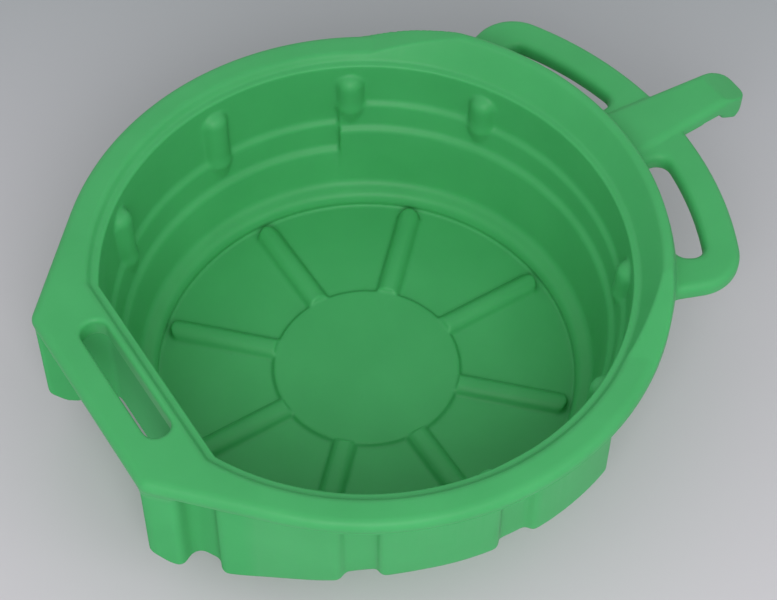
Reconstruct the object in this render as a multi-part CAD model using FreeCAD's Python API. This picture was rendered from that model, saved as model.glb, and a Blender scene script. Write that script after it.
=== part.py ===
import FreeCAD, Part

# Oil drain pan: a round, double-skinned, blow-moulded basin with a raised splash ridge, two loop
# handles and a hook tongue on one side, and a flat grip deck with a hand slot on the other.
# Units are millimetres. +Z is up, +X points along the hook tongue, and the origin is the centre of
# the underside that the pan stands on. The moulding is divided along its natural zones, one closed
# solid each, which meet face to face.

import math
import os

Vector = FreeCAD.Vector
UP = Vector(0, 0, 1)
ORIGIN = Vector(0, 0, 0)

# --- driving dimensions ---------------------------------------------------------------------
WALL = 2.5                  # thickness of each plastic skin
FLOOR_Z = WALL              # top of the basin floor
FLOOR_R = 168.5             # radius of the flat floor, which runs a little under the kerb
PAD_R = 75.0                # raised centre pad
PAD_RISE = 4.0
RIB_COUNT = 8
RIB_WIDTH = 19.5
RIB_RISE = 8.0
RIB_END_R = 162.5

LIP_R = 200.0               # inner edge of the basin's mouth
LIP_Z = 141.0
CROWN_Z = 147.0             # top of the rim roll and of the grip deck
RIM_R = 230.5               # outer edge of the rim roll
RIM_LOW_Z = 131.0           # underside of the rim roll's overhang
RIM_TOP_ROUND = 7.0
RIM_LOW_ROUND = 8.0
RIM_UNDERSIDE_Z = 129.0     # underside of the grip deck, and where the skirt begins
SPLIT_Z = 135.0             # where the basin skin ends and the rim begins

CHORD_X = -179.6            # inner edge of the mouth on the straight, grip side
GRIP_EDGE_X = -237.2        # straight outer edge of the grip deck
GRIP_CORNER_Y = 85.0
GRIP_CORNER_ROUND = 10.0

SKIRT_R = 224.0
SKIRT_EDGE_X = -236.4
SKIRT_CORNER_Y = 84.4
SKIRT_CORNER_ROUND = 12.0
SKIRT_BOTTOM_ROUND = 5.0
HOLLOW_BOTTOM_ROUND = 2.0   # the same edge, inside the skirt's hollow
SKIRT_HOOK_R = 208.0        # the skirt stands further in on the hook side
SKIRT_HOOK_ANGLE = 68.5
UNDERSIDE_R = 199.5         # where the underside between the two skins becomes the skirt

SILL = (                    # (x, z, rounding) along the skirt's lower edge, which falls to the legs
    (-95.0, 65.0, 150.0),
    (-190.0, 36.0, 60.0),
    (-224.0, 36.0, 14.0),
    (-260.0, 78.0, 0.0),
)

SHELF_STEP_ANGLE = 65.0     # the two wall ledges step up inside this angle from the hook
LEDGE_UPPER_Z = {"spout": 99.8, "grip": 78.8}
LEDGE_LOWER_Z = {"spout": 76.7, "grip": 53.5}

BUMP_ANGLES = (30.0, 62.0, 96.0, 131.5)
BUMP_AXIS_R = 201.0
BUMP_R = 11.5
BUMP_FOOT_R = 13.1
BUMP_TOP_Z = 130.0
BUMP_DOME_ROUND = 10.0
BUMP_FLARE = (3.0, 5.0)     # how far the foot's flare runs below and above the ledge
BUMP_TOE_R = 8.5            # the foot narrows again down to the lower ledge

FLUTES = (                  # (angle, radius of the flute's floor, rounding of its corners)
    (93.0, 217.5, 3.0),
    (123.0, 217.5, 3.0),
    (152.5, 223.0, 8.0),
)
FLUTE_WIDTH = 25.0
FLUTE_SHOULDER_ROUND = 6.0

RIDGE_TOP_Z = 166.5
RIDGE_FULL_ANGLE = 38.0     # full height inside this angle from the hook
RIDGE_RAMP_ANGLE = 56.0     # where its ramps come down to the rim roll's crown
RIDGE_END_ANGLE = 66.0

HANDLE_R = 282.0
HANDLE_END_Y = 75.0         # the handles' outer ends lie on lines that start here and
HANDLE_END_SLOPE = 0.385    # spread by this much per millimetre towards the hook
HANDLE_CORNER_ROUND = 36.0
HANDLE_ROOT_ROUND = 14.0    # where the outer ends of the handles run into the rim roll
HANDLE_HUB_R = 226.5
HANDLE_BOTTOM_Z = 127.0
HANDLE_TOP_Z = 143.5
HANDLE_EDGE_ROUND = 6.0
LOOP_INNER_R = 232.0
LOOP_OUTER_R = 255.0
LOOP_ANGLES = (7.5, 30.5)
LOOP_CORNER_ROUND = 10.0

HOOK_TIP_X = 351.0
HOOK_TIP_HALF = 16.2
HOOK_TAPER = 0.07           # half-width gained per millimetre back from the tip
HOOK_CORNER_ROUND = 14.0
HOOK_TOP_ROUND = 6.0
HOOK_BEND_X = 322.0         # the top bends down from here to the nose
HOOK_BEND_ROUND = 30.0
HOOK_NOSE_Z = 136.0
HOOK_NOSE_ROUND = 7.0
HOOK_TOP_Z = 147.0
HOOK_UNDERSIDE_Z = 133.5
HOOK_LIP_X = 321.0
HOOK_LIP_Z = 118.0          # lowest point of the lip, this far behind the tip
HOOK_LIP_BACK = 12.0
HOOK_LIP_ROOT_Z = 126.5

SLOT_CENTRE_X = -203.7      # hand slot in the grip deck
SLOT_WIDTH = 21.0
SLOT_LENGTH = 114.0
RECESS_X = -189.0           # finger recess under the deck: back wall and side walls
RECESS_BACK_HALF = 58.0
RECESS_MOUTH_HALF = 79.0
GRIP_BAR_ROUND = 6.0        # lower outer edge of the bar that the fingers close round
DECK_EDGE_X = -165.0        # where the rim roll ends and the grip deck and its legs begin

REACH = 400.0               # half-size of cutting blocks that pass the whole pan


# --- geometry helpers -----------------------------------------------------------------------
def polar(radius, degrees, z=0.0):
    angle = math.radians(degrees)
    return Vector(radius * math.cos(angle), radius * math.sin(angle), z)


def corner_arc(before, corner, after, radius):
    """Start, middle and end of the arc that rounds a corner of two straight edges."""
    towards_before = (before - corner).normalize()
    towards_after = (after - corner).normalize()
    half_angle = towards_before.getAngle(towards_after) / 2
    setback = radius / math.tan(half_angle)
    bisector = (towards_before + towards_after).normalize()
    centre = corner + bisector * (radius / math.sin(half_angle))
    return (corner + towards_before * setback, centre - bisector * radius,
            corner + towards_after * setback)


def rounded_wire(corners):
    """Closed wire through (point, corner radius) pairs."""
    edges = []
    ends = []
    count = len(corners)
    for index, (point, radius) in enumerate(corners):
        before = corners[index - 1][0]
        after = corners[(index + 1) % count][0]
        if radius:
            start, middle, end = corner_arc(before, point, after, radius)
            edges.append(Part.Arc(start, middle, end).toShape())
            ends.append((start, end))
        else:
            ends.append((point, point))
    for index in range(count):
        start = ends[index][1]
        end = ends[(index + 1) % count][0]
        if start.distanceToPoint(end) > 1e-6:
            edges.append(Part.makeLine(start, end))
    return Part.Wire(Part.__sortEdges__(edges))


def revolved(corners, start_angle=0.0, sweep=360.0):
    """Solid of revolution of a rounded (r, z, radius) profile."""
    face = Part.Face(rounded_wire([(Vector(r, 0, z), radius) for r, z, radius in corners]))
    face.rotate(ORIGIN, UP, start_angle)
    return face.revolve(ORIGIN, UP, sweep)


def prism(wire, height):
    return Part.Face(wire).extrude(Vector(0, 0, height))


def across(corners):
    """Block across the whole pan with a rounded (x, z, radius) side profile."""
    wire = rounded_wire([(Vector(x, -REACH, z), radius) for x, z, radius in corners])
    return Part.Face(wire).extrude(Vector(0, 2 * REACH, 0))


def cylinder(radius, low, high):
    return Part.makeCylinder(radius, high - low, Vector(0, 0, low))


def block(low, high):
    size = high - low
    return Part.makeBox(size.x, size.y, size.z, low)


def sector(low_angle, high_angle, low_z, high_z, radius=REACH):
    """Pie slice about the pan's axis."""
    pie = Part.makeCylinder(radius, high_z - low_z, Vector(0, 0, low_z), UP,
                            high_angle - low_angle)
    pie.rotate(ORIGIN, UP, low_angle)
    return pie


def edges_where(shape, test):
    return [edge for edge in shape.Edges if test(edge)]


def is_flat_at(edge, z):
    """True when the whole edge lies in the horizontal plane at z."""
    return abs(edge.BoundBox.ZMin - z) < 1e-4 and abs(edge.BoundBox.ZMax - z) < 1e-4


def is_upright(edge):
    box = edge.BoundBox
    return box.XLength < 1e-4 and box.YLength < 1e-4


def mirrored(shape):
    """The same shape on the other side of the pan's plane of symmetry."""
    return shape.mirror(ORIGIN, Vector(0, 1, 0))


# --- outlines and profiles ------------------------------------------------------------------
def pan_outline(radius, edge_x, corner_y, corner_round, inset, z):
    """Round outline whose tangents run to the two rounded corners of a straight edge."""
    tangent = (math.degrees(math.atan2(corner_y, edge_x))
               - math.degrees(math.acos(radius / math.hypot(edge_x, corner_y))))
    radius -= inset
    edge_x += inset
    angle = math.radians(tangent)
    corner_y = (radius - edge_x * math.cos(angle)) / math.sin(angle)
    top = Vector(edge_x, corner_y, z)
    bottom = Vector(edge_x, -corner_y, z)
    touch_top = polar(radius, tangent, z)
    touch_bottom = polar(radius, -tangent, z)
    rounding = max(corner_round - inset, 2.0)
    top_start, top_middle, top_end = corner_arc(touch_top, top, bottom, rounding)
    low_start, low_middle, low_end = corner_arc(top, bottom, touch_bottom, rounding)
    return Part.Wire([
        Part.Arc(touch_bottom, Vector(radius, 0, z), touch_top).toShape(),
        Part.makeLine(touch_top, top_start),
        Part.Arc(top_start, top_middle, top_end).toShape(),
        Part.makeLine(top_end, low_start),
        Part.Arc(low_start, low_middle, low_end).toShape(),
        Part.makeLine(low_end, touch_bottom)])


def rim_outline(inset, z):
    return pan_outline(RIM_R, GRIP_EDGE_X, GRIP_CORNER_Y, GRIP_CORNER_ROUND, inset, z)


def skirt_outline(inset, z):
    return pan_outline(SKIRT_R, SKIRT_EDGE_X, SKIRT_CORNER_Y, SKIRT_CORNER_ROUND, inset, z)


def wall_corners(side, grow=0.0):
    """(r, z, rounding) up the basin's wall from the floor to the lip, grown outwards by a skin."""
    lower = LEDGE_LOWER_Z[side]
    upper = LEDGE_UPPER_Z[side]
    inner = [
        (FLOOR_R, FLOOR_Z, 0.0),
        (FLOOR_R - 2.3, FLOOR_Z + 5.0, 4.0),
        (FLOOR_R + 0.5, FLOOR_Z + 13.4, 8.0),
        (180.0, FLOOR_Z + 15.5, 8.0),
        (187.0, lower, 4.8),
        (191.6, lower + 1.6, 2.0),
        (194.2, upper, 2.2),
        (198.2, upper + 1.6, 3.6),
    ]
    return [(r + grow, z - grow, rounding) for r, z, rounding in inner]


def round_mouth(side):
    """Everything inside and above the round part of the basin's surface."""
    corners = [(0.0, FLOOR_Z, 0.0)] + wall_corners(side)
    corners += [
        (LIP_R, LIP_Z, 1.5),
        (LIP_R + 5.5, LIP_Z - 0.4, 1.0),
        (LIP_R + 8.5, CROWN_Z, 5.0),
        (RIM_R + 60.0, CROWN_Z, 0.0),
        (RIM_R + 60.0, CROWN_Z + 80.0, 0.0),
        (0.0, CROWN_Z + 80.0, 0.0),
    ]
    if side == "grip":
        return revolved(corners, SHELF_STEP_ANGLE, 360.0 - 2 * SHELF_STEP_ANGLE)
    return revolved(corners, -SHELF_STEP_ANGLE, 2 * SHELF_STEP_ANGLE)


def straight_mouth():
    """Everything inside and above the straight, grip-side part of the basin's surface."""
    foot_x = CHORD_X + 6.5
    corners = [
        (REACH, -1.0, 0.0),
        (foot_x, -1.0, 0.0),
        (foot_x, FLOOR_Z + 10.0, 0.0),
        (CHORD_X, LIP_Z, 1.5),
        (CHORD_X - 5.5, LIP_Z - 0.4, 1.0),
        (CHORD_X - 8.5, CROWN_Z, 5.0),
        (-REACH, CROWN_Z, 0.0),
        (-REACH, CROWN_Z + 80.0, 0.0),
        (REACH, CROWN_Z + 80.0, 0.0),
    ]
    return across(corners)


def basin_volume():
    """The basin's outer surface, filled, up to where the rim begins.

    Its step between the two ledge heights stands one skin further round than the step inside,
    so that the step has a wall of its own.
    """
    parts = []
    step = SHELF_STEP_ANGLE - math.degrees(WALL / LIP_R)
    for side, start, sweep in (("spout", -step, 2 * step), ("grip", step, 360.0 - 2 * step)):
        corners = [(0.0, FLOOR_Z - WALL, 0.0)] + wall_corners(side, WALL)
        corners += [(LIP_R + WALL, SPLIT_Z, 0.0), (0.0, SPLIT_Z, 0.0)]
        parts.append(revolved(corners, start, sweep))
    chord = block(Vector(CHORD_X - WALL, -REACH, -1), Vector(REACH, REACH, REACH))
    return parts[0].fuse(parts[1]).common(chord)


# --- features -------------------------------------------------------------------------------
def wall_bump(angle, side):
    """Upright half-round rib on the basin wall, with a domed top and a foot that flares out."""
    ledge = LEDGE_UPPER_Z[side]
    flare_low = ledge - BUMP_FLARE[0]
    flare_high = ledge + BUMP_FLARE[1]
    foot_low = LEDGE_LOWER_Z[side] + 1.0
    axis = polar(BUMP_AXIS_R, angle)
    column = Part.makeCylinder(BUMP_R, BUMP_TOP_Z - flare_high, axis + UP * flare_high)
    column = column.makeFillet(
        BUMP_DOME_ROUND, edges_where(column, lambda edge: is_flat_at(edge, BUMP_TOP_Z)))
    flare = Part.makeCone(BUMP_FOOT_R, BUMP_R, flare_high - flare_low, axis + UP * flare_low)
    foot = Part.makeCone(BUMP_TOE_R, BUMP_FOOT_R, flare_low - foot_low, axis + UP * foot_low)
    return column.fuse(flare).fuse(foot)


def bump_side(angle):
    return "spout" if angle < SHELF_STEP_ANGLE else "grip"


def rib_bar(width, top, end_r):
    """Solid half-round bar along +X from the pan's axis, with a rounded outer end."""
    half = width / 2
    section = [(Vector(0, -half, 0), 0.0), (Vector(0, half, 0), 0.0),
               (Vector(0, half, top), half - 0.6), (Vector(0, -half, top), half - 0.6)]
    bar = Part.Face(rounded_wire(section)).extrude(Vector(end_r, 0, 0))
    plan = [(Vector(0, -half, 0), 0.0), (Vector(end_r, -half, 0), half - 0.5),
            (Vector(end_r, half, 0), half - 0.5), (Vector(0, half, 0), 0.0)]
    return bar.common(prism(rounded_wire(plan), top))


def floor_rib(angle):
    """Hollow rib that stiffens the floor, and the solid space that it takes."""
    outer = rib_bar(RIB_WIDTH, FLOOR_Z + RIB_RISE, RIB_END_R).cut(cylinder(PAD_R, -1, REACH))
    hollow = rib_bar(RIB_WIDTH - 2 * WALL, RIB_RISE, RIB_END_R - WALL)
    outer.rotate(ORIGIN, UP, angle)
    hollow.rotate(ORIGIN, UP, angle)
    return outer.cut(hollow.cut(cylinder(PAD_R + WALL, -1, REACH))), outer


def centre_pad():
    """Raised disc in the middle of the floor, solid down to the face that the pan stands on."""
    pad = cylinder(PAD_R, 0, FLOOR_Z + PAD_RISE)
    return pad.makeFillet(1.8, edges_where(pad, lambda edge: is_flat_at(edge, FLOOR_Z + PAD_RISE)))


def below_sill(offset):
    """Everything under the skirt's lower edge, raised by an offset."""
    corners = [(REACH, SILL[0][1], 0.0)] + list(SILL) + [(-REACH, SILL[-1][1], 0.0),
                                                         (-REACH, -REACH, 0.0), (REACH, -REACH, 0.0)]
    return across([(x, z + offset, rounding) for x, z, rounding in corners])


def flutes(grow, low, high):
    """Upright flutes that divide the skirt into panels."""
    half = FLUTE_WIDTH / 2 + grow
    cutters = []
    for angle, floor_r, rounding in FLUTES:
        cutter = block(Vector(floor_r - grow, -half, low), Vector(REACH, half, high))
        cutter = cutter.makeFillet(rounding + grow, edges_where(
            cutter, lambda edge: is_upright(edge) and edge.BoundBox.XMax < SKIRT_R))
        for turn in (angle, -angle):
            turned = cutter.copy()
            turned.rotate(ORIGIN, UP, turn)
            cutters.append(turned)
    return cutters


def hook_side(grow, low, high):
    """The space that the skirt leaves free on the hook side."""
    angle = SKIRT_HOOK_ANGLE + math.degrees(grow / SKIRT_HOOK_R)
    return sector(-angle, angle, low, high).cut(cylinder(SKIRT_HOOK_R - grow, low, high))


def is_shoulder(edge):
    """True for the upright edges where the skirt's outline turns into a flute or its hook side."""
    if not is_upright(edge) or math.hypot(edge.CenterOfMass.x, edge.CenterOfMass.y) < SKIRT_R - 4:
        return False
    angle = abs(math.degrees(math.atan2(edge.CenterOfMass.y, edge.CenterOfMass.x)))
    turns = [flute[0] for flute in FLUTES] + [SKIRT_HOOK_ANGLE]
    return any(abs(angle - turn) < 5.0 for turn in turns)


def skirt_prism(inset, low, high):
    """The skirt's outline with its flutes, as an upright block, inset by a skin for its hollow."""
    solid = prism(skirt_outline(inset, low), high - low)
    solid = solid.cut(flutes(inset, low, high)).cut(hook_side(inset, low, high))
    return solid.makeFillet(FLUTE_SHOULDER_ROUND - inset, edges_where(solid, is_shoulder))


def finger_recess(grow):
    """Open space under the grip deck, wider at its mouth than at its back wall."""
    back = RECESS_X + grow
    low = -1.0
    mouth = GRIP_EDGE_X - 20.0
    slope = (RECESS_MOUTH_HALF - RECESS_BACK_HALF) / (SKIRT_EDGE_X - RECESS_X)
    mouth_half = RECESS_BACK_HALF + slope * (mouth - RECESS_X)
    corners = [(Vector(back, -RECESS_BACK_HALF - grow, low), 8.0),
               (Vector(back, RECESS_BACK_HALF + grow, low), 8.0),
               (Vector(mouth, mouth_half + grow, low), 0.0),
               (Vector(mouth, -mouth_half - grow, low), 0.0)]
    return prism(rounded_wire(corners), RIM_UNDERSIDE_Z - low)


def skirt_block(inset):
    """The outer skin's envelope below the rim, inset by a skin for its hollow."""
    solid = skirt_prism(inset, 20.0, RIM_UNDERSIDE_Z).cut(below_sill(inset))
    lower = edges_where(solid, lambda edge: (
        edge.BoundBox.ZMax < RIM_UNDERSIDE_Z - 10 and not is_upright(edge)
        and (edge.BoundBox.XLength > 0.01 or edge.BoundBox.XMax < SKIRT_EDGE_X + WALL + 0.1)))
    rounding = HOLLOW_BOTTOM_ROUND if inset else SKIRT_BOTTOM_ROUND
    return solid.makeFillet(rounding, lower).cut(finger_recess(inset))


def hand_slot(grow):
    """Round-ended slot through the grip deck."""
    half_width = SLOT_WIDTH / 2 + grow
    half_length = SLOT_LENGTH / 2 + grow
    low = RIM_UNDERSIDE_Z - 10
    rounding = half_width - 0.5
    corners = [(Vector(SLOT_CENTRE_X + sx * half_width, sy * half_length, low), rounding)
               for sx, sy in ((-1, -1), (1, -1), (1, 1), (-1, 1))]
    return prism(rounded_wire(corners), CROWN_Z - low + 10)


def grip_bar_rounding():
    """What is taken off the lower outer edge of the grip bar."""
    centre = Vector(SKIRT_EDGE_X + GRIP_BAR_ROUND, -RECESS_MOUTH_HALF, RIM_UNDERSIDE_Z + GRIP_BAR_ROUND)
    corner = block(Vector(-REACH, -RECESS_MOUTH_HALF, RIM_UNDERSIDE_Z - GRIP_BAR_ROUND),
                   Vector(centre.x, RECESS_MOUTH_HALF, centre.z))
    return corner.cut(Part.makeCylinder(GRIP_BAR_ROUND, 2 * RECESS_MOUTH_HALF, centre, Vector(0, 1, 0)))


def rim_slab():
    """The rim roll and the grip deck in one plate, with rounded edges and the hand slot."""
    plate = prism(rim_outline(0, RIM_LOW_Z), CROWN_Z - RIM_LOW_Z)
    plate = plate.makeFillet(RIM_TOP_ROUND, edges_where(plate, lambda edge: is_flat_at(edge, CROWN_Z)))
    plate = plate.makeFillet(
        RIM_LOW_ROUND, edges_where(plate, lambda edge: is_flat_at(edge, RIM_LOW_Z)))
    plate = plate.fuse(skirt_prism(0.0, RIM_UNDERSIDE_Z, RIM_LOW_Z + RIM_LOW_ROUND))
    plate = plate.cut(hand_slot(0))
    slot_edges = edges_where(plate, lambda edge: (
        abs(edge.CenterOfMass.x - SLOT_CENTRE_X) < SLOT_WIDTH / 2 + 0.01
        and abs(edge.CenterOfMass.y) < SLOT_LENGTH / 2 + 0.01
        and (is_flat_at(edge, CROWN_Z) or is_flat_at(edge, RIM_UNDERSIDE_Z))))
    return plate.makeFillet(3.0, slot_edges).cut(grip_bar_rounding())


def rim_hollow():
    """Air space inside the rim roll and the deck, open to the space inside the skirt."""
    floor_z = RIM_LOW_Z + WALL
    ring = prism(rim_outline(2 * WALL, floor_z), CROWN_Z - WALL - floor_z)
    ring = ring.fuse(skirt_prism(WALL, RIM_UNDERSIDE_Z, floor_z))
    inner = cylinder(LIP_R + 10, 0, REACH).common(
        block(Vector(CHORD_X - 10, -REACH, 0), Vector(REACH, REACH, REACH)))
    deck_floor = finger_recess(WALL)
    deck_floor.translate(UP * WALL)
    bar_edge = block(Vector(-REACH, -RECESS_MOUTH_HALF - WALL, 0),
                     Vector(SKIRT_EDGE_X + GRIP_BAR_ROUND, RECESS_MOUTH_HALF + WALL, floor_z + WALL))
    return ring.cut(inner).cut(hand_slot(WALL)).cut(deck_floor).cut(bar_edge)


def ridge_ring(inset, end_angle):
    """Crescent of full height that stands on the rim roll on the hook side."""
    base_z = CROWN_Z - 12
    low_r = LIP_R + 5.5 + 1.5 * inset
    corners = [(low_r, base_z, 0.0), (low_r, LIP_Z + 0.6, 0.0),
               (LIP_R + 19.5 + inset, RIDGE_TOP_Z - 1.0 - inset, 4.0 - inset),
               (RIM_R - 4.0 - inset, RIDGE_TOP_Z - inset, 4.0 - inset),
               (RIM_R - inset, CROWN_Z + 6, 3.0), (RIM_R - inset, base_z, 0.0)]
    return revolved(corners, -end_angle, 2 * end_angle)


def splash_ridge():
    """The crescent, ramping down to the rim roll at both ends."""
    half_turn = math.radians(RIDGE_RAMP_ANGLE - RIDGE_FULL_ANGLE) / 2
    ramp = math.degrees(math.atan((RIDGE_TOP_Z - CROWN_Z) / (2 * half_turn * RIM_R)))
    above = block(Vector(-REACH, -REACH, 0), Vector(REACH, REACH, REACH))
    above.rotate(ORIGIN, Vector(1, 0, 0), -ramp)
    above.translate(Vector(RIM_R * math.cos(half_turn), -RIM_R * math.sin(half_turn), RIDGE_TOP_Z))
    above.rotate(ORIGIN, UP, (RIDGE_FULL_ANGLE + RIDGE_RAMP_ANGLE) / 2)
    return ridge_ring(0.0, RIDGE_END_ANGLE).cut(above).cut(mirrored(above))


def loop_slot(grow):
    """Opening of the left loop handle."""
    base = HANDLE_BOTTOM_Z - 20
    top = HANDLE_TOP_Z + 20
    low, high = LOOP_ANGLES
    turn = math.degrees(grow / LOOP_OUTER_R)
    ring = cylinder(LOOP_OUTER_R + grow, base, top).cut(cylinder(LOOP_INNER_R - grow, base, top))
    opening = ring.common(sector(low - turn, high + turn, base, top))
    return opening.makeFillet(LOOP_CORNER_ROUND, edges_where(opening, is_upright))


def handle_plate(inset):
    """Both loop handles and the plate between them, inset by a skin for their hollow."""
    low = HANDLE_BOTTOM_Z + inset
    high = HANDLE_TOP_Z - inset
    near = HANDLE_END_Y - inset * math.hypot(1.0, HANDLE_END_SLOPE)
    far = near + REACH * HANDLE_END_SLOPE
    plan = [(Vector(0, -near, low), 0.0), (Vector(REACH, -far, low), 0.0),
            (Vector(REACH, far, low), 0.0), (Vector(0, near, low), 0.0)]
    plate = Part.Face(rounded_wire(plan)).extrude(UP * (high - low))
    plate = plate.common(cylinder(HANDLE_R - inset, low, high))
    plate = plate.makeFillet(HANDLE_CORNER_ROUND - inset, edges_where(
        plate, lambda edge: is_upright(edge) and edge.BoundBox.XMin > 1.0))
    plate = plate.fuse(cylinder(HANDLE_HUB_R - inset, low, high)).removeSplitter()
    plate = plate.makeFillet(HANDLE_ROOT_ROUND + inset, edges_where(
        plate, lambda edge: is_upright(edge) and edge.BoundBox.XMin > 1.0
        and abs(math.hypot(edge.CenterOfMass.x, edge.CenterOfMass.y) - HANDLE_HUB_R + inset) < 0.1))
    opening = loop_slot(inset)
    plate = plate.cut(opening).cut(mirrored(opening))
    plate = plate.makeFillet(HANDLE_EDGE_ROUND - inset, edges_where(
        plate, lambda edge: is_flat_at(edge, low) or is_flat_at(edge, high)))
    return plate.cut(cylinder(HANDLE_HUB_R, 0, REACH)).common(
        block(Vector(0, -REACH, 0), Vector(REACH, REACH, REACH)))


def hook_tongue(inset):
    """Tongue that reaches past the handles and curls down to a shallow lip at its end."""
    root_x = HANDLE_HUB_R
    lip_z = HOOK_LIP_Z + inset
    top = HOOK_TOP_Z - inset
    tip = HOOK_TIP_X - inset
    half_tip = HOOK_TIP_HALF - inset
    half_root = half_tip + HOOK_TAPER * (tip - root_x)
    rounding = HOOK_CORNER_ROUND - inset
    plan = [(Vector(root_x, -half_root, lip_z), 0.0), (Vector(tip, -half_tip, lip_z), rounding),
            (Vector(tip, half_tip, lip_z), rounding), (Vector(root_x, half_root, lip_z), 0.0)]
    bar = Part.Face(rounded_wire(plan)).extrude(UP * (top - lip_z))
    bar = bar.makeFillet(HOOK_TOP_ROUND - inset, edges_where(
        bar, lambda edge: is_flat_at(edge, top) and edge.BoundBox.XMax > root_x + 1))
    plate_z = HANDLE_BOTTOM_Z + inset
    underside = HOOK_UNDERSIDE_Z + inset
    side = across([(root_x - 1, plate_z, 0.0),
                   (root_x - 1, top + 1, 0.0),
                   (HOOK_BEND_X, top + 1, HOOK_BEND_ROUND),
                   (tip + 0.5, HOOK_NOSE_Z - inset, HOOK_NOSE_ROUND),
                   (tip + 0.5, lip_z + 8, 4.0),
                   (tip - HOOK_LIP_BACK, lip_z, 5.0),
                   (HOOK_LIP_X + 3 + inset, HOOK_LIP_ROOT_Z + inset, 2.0),
                   (HOOK_LIP_X + inset, underside, 3.0),
                   (HANDLE_R - 1 - inset, underside, 2.0),
                   (HANDLE_R - 7 - inset, plate_z, 0.0)])
    return bar.common(side)


# --- the moulding and its zones -------------------------------------------------------------
def basin_zones(skin):
    """The basin's skin, cut into its floor, its walls between the ledges, and the straight wall."""
    floor_edge = FLOOR_R - 4.0
    ring_top = FLOOR_Z + 16.0
    ledge_drop = 4.5
    zones = {}
    floor = skin.common(cylinder(floor_edge, -1, ring_top))
    zones["centre_pad"] = centre_pad()
    floor = floor.cut(cylinder(PAD_R, -1, ring_top))
    for number in range(RIB_COUNT):
        rib, space = floor_rib(360.0 / RIB_COUNT * number)
        zones["floor_rib_%d" % (number + 1)] = rib
        floor = floor.cut(space)
    zones["floor_panel"] = floor
    zones["floor_ring"] = skin.common(
        cylinder(REACH, -1, ring_top).cut(cylinder(floor_edge, -1, ring_top)))
    straight = block(Vector(-REACH, -78, ring_top), Vector(CHORD_X + 8, 78, SPLIT_Z))
    zones["straight_wall"] = skin.common(straight)
    wall = skin.cut(cylinder(REACH, -1, ring_top)).cut(straight)
    step = SHELF_STEP_ANGLE
    for place, side, start, end in (("spout", "spout", -step, step), ("left", "grip", step, 180.0),
                                    ("right", "grip", 180.0, 360.0 - step)):
        heights = (ring_top, LEDGE_LOWER_Z[side] - ledge_drop, LEDGE_UPPER_Z[side] - ledge_drop,
                   SPLIT_Z)
        for name, low, high in zip(("lower_wall", "middle_wall", "upper_wall"), heights, heights[1:]):
            zones[name + "_" + place] = wall.common(sector(start, end, low, high))
    return zones


def rim_zones(rim):
    """The rim, cut into its lip, roll, ridge, and the grip deck with its bar."""
    lip_space = cylinder(LIP_R + 6.0, 0, REACH).common(
        block(Vector(CHORD_X - 6.0, -REACH, 0), Vector(REACH, REACH, REACH)))
    zones = {"mouth_lip": rim.common(lip_space)}
    rim = rim.cut(lip_space)
    ridge_space = sector(-RIDGE_END_ANGLE, RIDGE_END_ANGLE, HANDLE_TOP_Z, REACH)
    zones["splash_ridge"] = rim.common(ridge_space)
    rim = rim.cut(ridge_space)
    bar_space = block(Vector(-REACH, -SLOT_LENGTH / 2, 0), Vector(SLOT_CENTRE_X, SLOT_LENGTH / 2, REACH))
    zones["grip_bar"] = rim.common(bar_space)
    rim = rim.cut(bar_space)
    deck_space = block(Vector(-REACH, -REACH, 0), Vector(DECK_EDGE_X, REACH, REACH))
    zones["grip_deck"] = rim.common(deck_space)
    zones["rim_roll"] = rim.cut(deck_space)
    return zones


def skirt_zones(skirt):
    """The outer skin below the rim, cut into its skirt, underside, corner legs and recess wall."""
    recess_space = block(Vector(-REACH, 3 - RECESS_BACK_HALF, 0),
                         Vector(CHORD_X, RECESS_BACK_HALF - 3, REACH))
    zones = {"finger_recess_wall": skirt.common(recess_space)}
    skirt = skirt.cut(recess_space)
    for name, low_y, high_y in (("corner_leg_left", 0, REACH), ("corner_leg_right", -REACH, 0)):
        leg_space = block(Vector(-REACH, low_y, 0), Vector(DECK_EDGE_X, high_y, REACH))
        zones[name] = skirt.common(leg_space)
        skirt = skirt.cut(leg_space)
    under_space = cylinder(UNDERSIDE_R, 0, REACH)
    zones["underside_ring"] = skirt.common(under_space)
    zones["outer_skirt"] = skirt.cut(under_space)
    return zones


def handle_zones(rim_envelope, skirt_envelope):
    """The two loop handles and the hook tongue, all hollow."""
    tongue = hook_tongue(0.0).cut(rim_envelope)
    inner = cylinder(RIM_R + WALL, 0, REACH)
    plate = handle_plate(0.0).cut(rim_envelope)
    plate = plate.cut(skirt_envelope).cut(tongue).cut(handle_plate(WALL).cut(inner))
    left = block(Vector(0, 0, 0), Vector(REACH, REACH, REACH))
    return {"loop_handle_left": plate.common(left), "loop_handle_right": plate.cut(left),
            "hook_tongue": tongue.cut(hook_tongue(WALL).cut(inner))}


def save(name, shape):
    solids = [solid for solid in shape.Solids if solid.Volume > 1.0]
    print(name, len(solids), "solid,", round(shape.Volume / 1000, 2), "cm3, valid:", shape.isValid())
    whole = solids[0] if len(solids) == 1 else Part.makeCompound(solids)
    whole.exportStep("parts/" + name + ".step")


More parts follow.
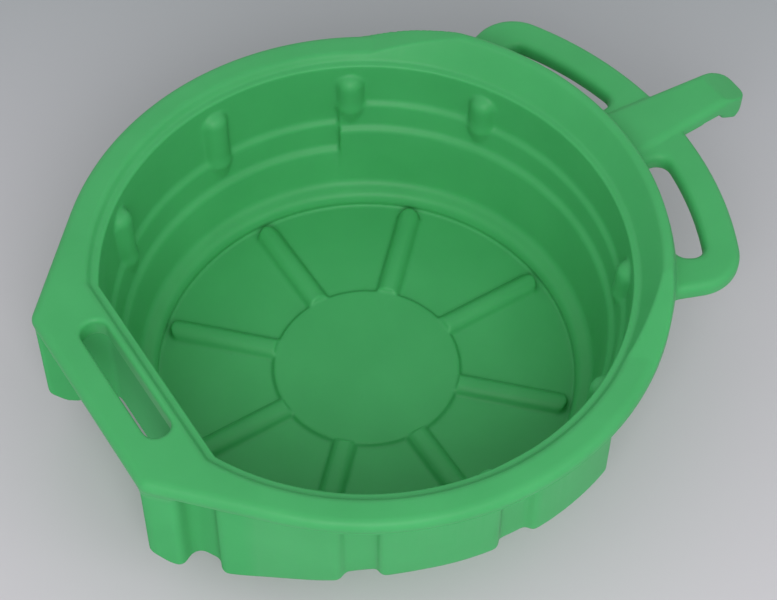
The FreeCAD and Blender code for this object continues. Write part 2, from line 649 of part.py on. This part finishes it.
def build():
    os.makedirs("parts", exist_ok=True)
    air = round_mouth("spout").fuse(round_mouth("grip")).common(straight_mouth())
    basin = basin_volume()
    zones = basin_zones(basin.cut(air))
    for number, angle in enumerate(BUMP_ANGLES, start=1):
        bump = wall_bump(angle, bump_side(angle)).common(air)
        zones["wall_bump_left_%d" % number] = bump
        zones["wall_bump_right_%d" % number] = mirrored(bump)
    rim_envelope = rim_slab().cut(air).fuse(splash_ridge()).cut(basin)
    rim_skin = rim_envelope.cut(rim_hollow().cut(air)).cut(ridge_ring(WALL, RIDGE_FULL_ANGLE))
    zones.update(rim_zones(rim_skin))
    skirt_envelope = skirt_block(0.0).cut(basin)
    zones.update(skirt_zones(skirt_envelope.cut(skirt_block(WALL))))
    zones.update(handle_zones(rim_envelope, skirt_envelope))
    for name, shape in zones.items():
        save(name, shape)


build()
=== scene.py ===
# Visual model of the oil drain pan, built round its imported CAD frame. Metres, +Z up, +X along the
# hook tongue, origin under the middle of the basin.

import math

import bmesh
import bpy
from mathutils import Matrix, Vector


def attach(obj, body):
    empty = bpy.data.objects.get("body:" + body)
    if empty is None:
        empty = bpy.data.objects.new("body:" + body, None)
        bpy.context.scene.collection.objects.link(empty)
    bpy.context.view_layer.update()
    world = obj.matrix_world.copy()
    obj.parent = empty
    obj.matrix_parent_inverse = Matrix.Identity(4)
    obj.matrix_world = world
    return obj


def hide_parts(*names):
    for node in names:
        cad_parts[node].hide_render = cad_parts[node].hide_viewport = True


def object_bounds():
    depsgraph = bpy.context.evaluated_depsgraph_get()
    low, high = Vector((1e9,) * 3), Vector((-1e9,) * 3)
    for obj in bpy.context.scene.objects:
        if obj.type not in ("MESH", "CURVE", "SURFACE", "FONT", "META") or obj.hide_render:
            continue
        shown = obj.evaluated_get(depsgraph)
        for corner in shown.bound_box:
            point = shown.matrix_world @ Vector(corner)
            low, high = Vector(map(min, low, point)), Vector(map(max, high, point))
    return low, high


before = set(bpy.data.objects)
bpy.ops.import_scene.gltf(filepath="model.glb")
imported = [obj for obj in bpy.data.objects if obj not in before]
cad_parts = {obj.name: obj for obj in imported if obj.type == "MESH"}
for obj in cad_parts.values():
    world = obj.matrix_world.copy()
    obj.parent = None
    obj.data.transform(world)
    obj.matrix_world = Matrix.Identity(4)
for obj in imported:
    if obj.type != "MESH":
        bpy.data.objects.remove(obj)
cad_low, cad_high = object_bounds()

# --- camera ---------------------------------------------------------------------------------
CAMERA_PLACE = Vector((-0.4952, -0.7987, 1.3739))
CAMERA_TARGET = Vector((0.0239, 0.0061, 0.070))
CAMERA_ROLL = 0.774         # degrees, from upright
LENS = 95.86                # focal length, in millimetres
SENSOR = 36.0               # sensor width, in millimetres

# --- look of the plastic --------------------------------------------------------------------
# A noise is (scale, detail, roughness). A bump is (strength, height in metres). Colours are stops
# on a ramp, each (place, colour).
CLOUD_NOISE = (14.0, 4.0, 0.55)
CLOUD_COLOURS = [(0.30, (0.058, 0.390, 0.124)), (0.72, (0.069, 0.432, 0.142))]
SHEEN_NOISE = (55.0, 5.0, 0.6)
SHEEN_ROUGHNESS = (0.40, 0.52)
RIPPLE_NOISE = (26.0, 2.0, 0.5)
RIPPLE_BUMP = (0.16, 0.0012)
GRAIN_NOISE = (900.0, 3.0, 0.7)
GRAIN_BUMP = (0.10, 0.0002)
PLASTIC_IOR = 1.5
PLASTIC_SPECULAR = 0.25
SCATTER_WEIGHT = 0.25
SCATTER_RADIUS = (0.5, 1.6, 0.7)
SCATTER_SCALE = 0.003
RECESS_ROUGHNESS = 0.95     # the plastic is dull in the finger recess
RECESS_X = (-0.178, -0.186)     # where the recess's dullness begins, and where it is full
RECESS_Z = (0.131, 0.127)

# --- look of the paper that the pan stands on -----------------------------------------------
PAPER_HALF = 6.0            # half of the sheet's side
PAPER_Z = -0.0002           # a hair under the pan's flat underside
BACKWARDS = math.radians(-57.2)     # turns the view's own direction into the paper's +X
PAPER_FRONT = -0.30         # the painted shade below begins here along that +X
PAPER_BACK = 0.42           # and end here
# Painted shade: the paper's colour darkens towards the back in place of the lamps' light falling off.
# Each stop is (place, colour).
PAPER_PAINTED_FALLOFF = [(0.0, (0.645, 0.625, 0.665)), (0.5, (0.585, 0.570, 0.610)),
                (1.0, (0.432, 0.453, 0.476))]
PAPER_ROUGHNESS = 0.95
PAPER_SPECULAR = 0.1

# --- shape of the moulding ------------------------------------------------------------------
VOXEL = 0.0014              # size of the grid that the moulding's outer skin is rebuilt on
SMOOTH_FACTOR = 0.5
CRISP_PASSES = 3            # softening of every crease
SOFT_PASSES = 12            # further softening of the walls, skirt and legs
SOFT_LOW = 0.022            # the soft band starts above the kerb round the floor
SOFT_HIGH = 0.132           # and ends below the lip of the mouth
SOFT_BLEND = 0.012          # height over which it comes in, at both ends
MOULDING_TRIANGLES = 188000

# --- shape of the parting line --------------------------------------------------------------
LINE_R = 0.22990            # radius of the line's middle, low on the rim's outer round
LINE_Z = 0.1362
LINE_HALF = 0.00042         # half of the line's thickness
LINE_THIN = 0.1             # share of the thickness that is left at the line's ends
LINE_END = math.radians(136.0)      # the line leaves the round rim here, on each side of the hook
LINE_FADE = math.radians(5.0)       # it thins over this angle at each end
LINE_STEPS = 360
LINE_SIDES = 8

# --- light ----------------------------------------------------------------------------------
# Powers are in watts.
LIT_POINT = Vector((0.0, 0.0, 0.05))    # both lamps face this point
LAMP_SIZE = 1.6             # diameter of each lamp's disc
KEY_PLACE = Vector((-1.079, -1.674, 1.721))
KEY_POWER = 33.0
SIDE_PLACE = Vector((0.589, -1.903, 1.721))
SIDE_POWER = 4.8
SKY_COLOUR = (1.0, 1.0, 1.0, 1.0)
SKY_STRENGTH = 0.60


# --- helpers --------------------------------------------------------------------------------
def new_object(name, mesh):
    made = bpy.data.objects.new(name, mesh)
    bpy.context.scene.collection.objects.link(made)
    return made


def shade_smooth(mesh):
    mesh.polygons.foreach_set("use_smooth", [True] * len(mesh.polygons))


def settle(made):
    """Applies an object's modifiers."""
    graph = bpy.context.evaluated_depsgraph_get()
    result = bpy.data.meshes.new_from_object(made.evaluated_get(graph))
    made.modifiers.clear()
    made.data = result


def make_camera():
    data = bpy.data.cameras.new("camera")
    data.lens = LENS
    data.sensor_width = SENSOR
    camera = new_object("camera", data)
    look = (CAMERA_TARGET - CAMERA_PLACE).to_track_quat("-Z", "Y").to_matrix().to_4x4()
    roll = Matrix.Rotation(math.radians(CAMERA_ROLL), 4, "Z")
    camera.matrix_world = Matrix.Translation(CAMERA_PLACE) @ look @ roll
    bpy.context.scene.camera = camera


# --- materials ------------------------------------------------------------------------------
def node_material(name):
    material = bpy.data.materials.new(name)
    material.use_nodes = True
    tree = material.node_tree
    shader = tree.nodes["Principled BSDF"]
    return material, tree, shader


def object_point(tree):
    """A point's place in its object's own coordinates."""
    return tree.nodes.new("ShaderNodeTexCoord").outputs["Object"]


def noise(tree, kind):
    scale, detail, roughness = kind
    texture = tree.nodes.new("ShaderNodeTexNoise")
    texture.inputs["Scale"].default_value = scale
    texture.inputs["Detail"].default_value = detail
    texture.inputs["Roughness"].default_value = roughness
    tree.links.new(object_point(tree), texture.inputs["Vector"])
    return texture.outputs["Fac"]


def ramp(tree, value, stops):
    node = tree.nodes.new("ShaderNodeValToRGB")
    elements = node.color_ramp.elements
    while len(elements) < len(stops):
        elements.new(0.5)
    for element, (position, colour) in zip(elements, stops):
        element.position = position
        element.color = (*colour, 1.0)
    tree.links.new(value, node.inputs["Fac"])
    return node.outputs["Color"]


def bump(tree, height, kind, below=None):
    """A bump in the surface. It can lie over a coarser one, whose normal is given as below."""
    node = tree.nodes.new("ShaderNodeBump")
    strength, distance = kind
    node.inputs["Strength"].default_value = strength
    node.inputs["Distance"].default_value = distance
    tree.links.new(height, node.inputs["Height"])
    if below:
        tree.links.new(below, node.inputs["Normal"])
    return node.outputs["Normal"]


def stretch(tree, value, start, end):
    """Goes from 0 to 1 as a value goes from start to end."""
    node = tree.nodes.new("ShaderNodeMapRange")
    node.inputs["From Min"].default_value = start
    node.inputs["From Max"].default_value = end
    tree.links.new(value, node.inputs["Value"])
    return node.outputs["Result"]


def recess_share(tree):
    """1 in the finger recess under the grip deck and on the legs beside it, 0 elsewhere."""
    split = tree.nodes.new("ShaderNodeSeparateXYZ")
    tree.links.new(object_point(tree), split.inputs["Vector"])
    product = tree.nodes.new("ShaderNodeMath")
    product.operation = "MULTIPLY"
    tree.links.new(stretch(tree, split.outputs["X"], *RECESS_X), product.inputs[0])
    tree.links.new(stretch(tree, split.outputs["Z"], *RECESS_Z), product.inputs[1])
    return product.outputs["Value"]


def polyethylene():
    """Green polyethylene: faint cloudy colour, a fine moulded grain, slow ripples and a soft sheen."""
    material, tree, shader = node_material("green_polyethylene")
    colour = ramp(tree, noise(tree, CLOUD_NOISE), CLOUD_COLOURS)
    tree.links.new(colour, shader.inputs["Base Color"])
    rough = tree.nodes.new("ShaderNodeMapRange")
    rough.inputs["To Min"].default_value = SHEEN_ROUGHNESS[0]
    rough.inputs["To Max"].default_value = SHEEN_ROUGHNESS[1]
    tree.links.new(noise(tree, SHEEN_NOISE), rough.inputs["Value"])
    dull = tree.nodes.new("ShaderNodeMix")
    tree.links.new(recess_share(tree), dull.inputs["Factor"])
    tree.links.new(rough.outputs["Result"], dull.inputs["A"])
    dull.inputs["B"].default_value = RECESS_ROUGHNESS
    tree.links.new(dull.outputs["Result"], shader.inputs["Roughness"])
    ripple = bump(tree, noise(tree, RIPPLE_NOISE), RIPPLE_BUMP)
    grain = bump(tree, noise(tree, GRAIN_NOISE), GRAIN_BUMP, ripple)
    tree.links.new(grain, shader.inputs["Normal"])
    shader.inputs["IOR"].default_value = PLASTIC_IOR
    shader.inputs["Specular IOR Level"].default_value = PLASTIC_SPECULAR
    shader.inputs["Subsurface Weight"].default_value = SCATTER_WEIGHT
    shader.inputs["Subsurface Radius"].default_value = SCATTER_RADIUS
    shader.inputs["Subsurface Scale"].default_value = SCATTER_SCALE
    return material


def studio_grey():
    """Pale matt paper with painted shade: its colour grows a little darker towards the back, standing
    in for the lamps' light falling off.
    """
    material, tree, shader = node_material("studio_grey")
    turned = tree.nodes.new("ShaderNodeMapping")
    turned.inputs["Rotation"].default_value = (0.0, 0.0, BACKWARDS)
    tree.links.new(object_point(tree), turned.inputs["Vector"])
    split = tree.nodes.new("ShaderNodeSeparateXYZ")
    tree.links.new(turned.outputs["Vector"], split.inputs["Vector"])
    along = stretch(tree, split.outputs["X"], PAPER_FRONT, PAPER_BACK)
    tree.links.new(ramp(tree, along, PAPER_PAINTED_FALLOFF), shader.inputs["Base Color"])
    shader.inputs["Roughness"].default_value = PAPER_ROUGHNESS
    shader.inputs["Specular IOR Level"].default_value = PAPER_SPECULAR
    return material


# --- the moulding ---------------------------------------------------------------------------
def joined_zones(name):
    """One mesh that holds every zone of the CAD frame as it is."""
    joined = bmesh.new()
    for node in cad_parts.values():
        joined.from_mesh(node.data)
    mesh = bpy.data.meshes.new(name)
    joined.to_mesh(mesh)
    joined.free()
    return mesh


def seamless(pan):
    """Rebuilds the zones as one closed outer skin."""
    skin = pan.modifiers.new("skin", "REMESH")
    skin.mode = "VOXEL"
    skin.voxel_size = VOXEL
    settle(pan)


def soften(pan):
    """Softens the creases, most of all on the walls, skirt and legs."""
    walls = pan.vertex_groups.new(name="walls")
    for vertex in pan.data.vertices:
        share = min(SOFT_HIGH - vertex.co.z, vertex.co.z - SOFT_LOW) / SOFT_BLEND
        if share > 0.0:
            walls.add([vertex.index], min(share, 1.0), "REPLACE")
    for name, passes, group in (("crisp", CRISP_PASSES, ""), ("soft", SOFT_PASSES, walls.name)):
        soft = pan.modifiers.new(name, "SMOOTH")
        soft.factor = SMOOTH_FACTOR
        soft.iterations = passes
        soft.vertex_group = group
    settle(pan)


def lighten(pan):
    """Brings the skin, which is all quads here, down to the wanted number of triangles."""
    thin = pan.modifiers.new("thin", "DECIMATE")
    thin.ratio = MOULDING_TRIANGLES / (2.0 * len(pan.data.polygons))
    settle(pan)


def keep_in_cad_box(pan):
    """Brings back the few points that the rebuilt skin puts a hair outside the CAD's box."""
    for vertex in pan.data.vertices:
        for axis in range(3):
            vertex.co[axis] = min(max(vertex.co[axis], cad_low[axis]), cad_high[axis])


def moulding(material):
    """One seamless skin over every zone, with its creases softened as a blow moulding's are."""
    pan = new_object("moulded_pan", joined_zones("moulded_pan"))
    seamless(pan)
    soften(pan)
    lighten(pan)
    keep_in_cad_box(pan)
    shade_smooth(pan.data)
    pan.data.materials.clear()
    pan.data.materials.append(material)
    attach(pan, "root")
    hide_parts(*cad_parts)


# --- the parting line -----------------------------------------------------------------------
def parting_line(material):
    """Thin raised line that the mould's two halves leave round the rim, fading out at its ends."""
    points = []
    faces = [tuple(range(LINE_SIDES))[::-1]]
    for step in range(LINE_STEPS + 1):
        along = -LINE_END + 2.0 * LINE_END * step / LINE_STEPS
        half = LINE_HALF * max(min((LINE_END - abs(along)) / LINE_FADE, 1.0), LINE_THIN)
        for side in range(LINE_SIDES):
            round_it = 2.0 * math.pi * side / LINE_SIDES
            reach = LINE_R + half * math.cos(round_it)
            points.append((reach * math.cos(along), reach * math.sin(along),
                           LINE_Z + half * math.sin(round_it)))
    for step in range(LINE_STEPS):
        first = step * LINE_SIDES
        for side in range(LINE_SIDES):
            beside = (side + 1) % LINE_SIDES
            faces.append((first + side, first + beside,
                          first + LINE_SIDES + beside, first + LINE_SIDES + side))
    faces.append(tuple(LINE_STEPS * LINE_SIDES + side for side in range(LINE_SIDES)))
    mesh = bpy.data.meshes.new("parting_line")
    mesh.from_pydata(points, [], faces)
    shade_smooth(mesh)
    line = new_object("parting_line", mesh)
    line.data.materials.append(material)
    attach(line, "root")


# --- stage and light ------------------------------------------------------------------------
def make_floor():
    corners = [(-PAPER_HALF, -PAPER_HALF, PAPER_Z), (PAPER_HALF, -PAPER_HALF, PAPER_Z),
               (PAPER_HALF, PAPER_HALF, PAPER_Z), (-PAPER_HALF, PAPER_HALF, PAPER_Z)]
    mesh = bpy.data.meshes.new("floor")
    mesh.from_pydata(corners, [], [(0, 1, 2, 3)])
    floor = new_object("floor", mesh)
    floor.data.materials.append(studio_grey())


def area_light(name, place, power):
    data = bpy.data.lights.new(name, "AREA")
    data.shape = "DISK"
    data.size = LAMP_SIZE
    data.energy = power
    light = new_object(name, data)
    light.matrix_world = (Matrix.Translation(place)
                          @ (LIT_POINT - place).to_track_quat("-Z", "Y").to_matrix().to_4x4())


def make_lights():
    area_light("key", KEY_PLACE, KEY_POWER)
    area_light("side", SIDE_PLACE, SIDE_POWER)
    world = bpy.data.worlds.new("studio")
    world.use_nodes = True
    world.node_tree.nodes["Background"].inputs["Color"].default_value = SKY_COLOUR
    world.node_tree.nodes["Background"].inputs["Strength"].default_value = SKY_STRENGTH
    bpy.context.scene.world = world
    bpy.context.scene.view_settings.view_transform = "Standard"


make_camera()
make_floor()
make_lights()
green = polyethylene()
moulding(green)
parting_line(green)
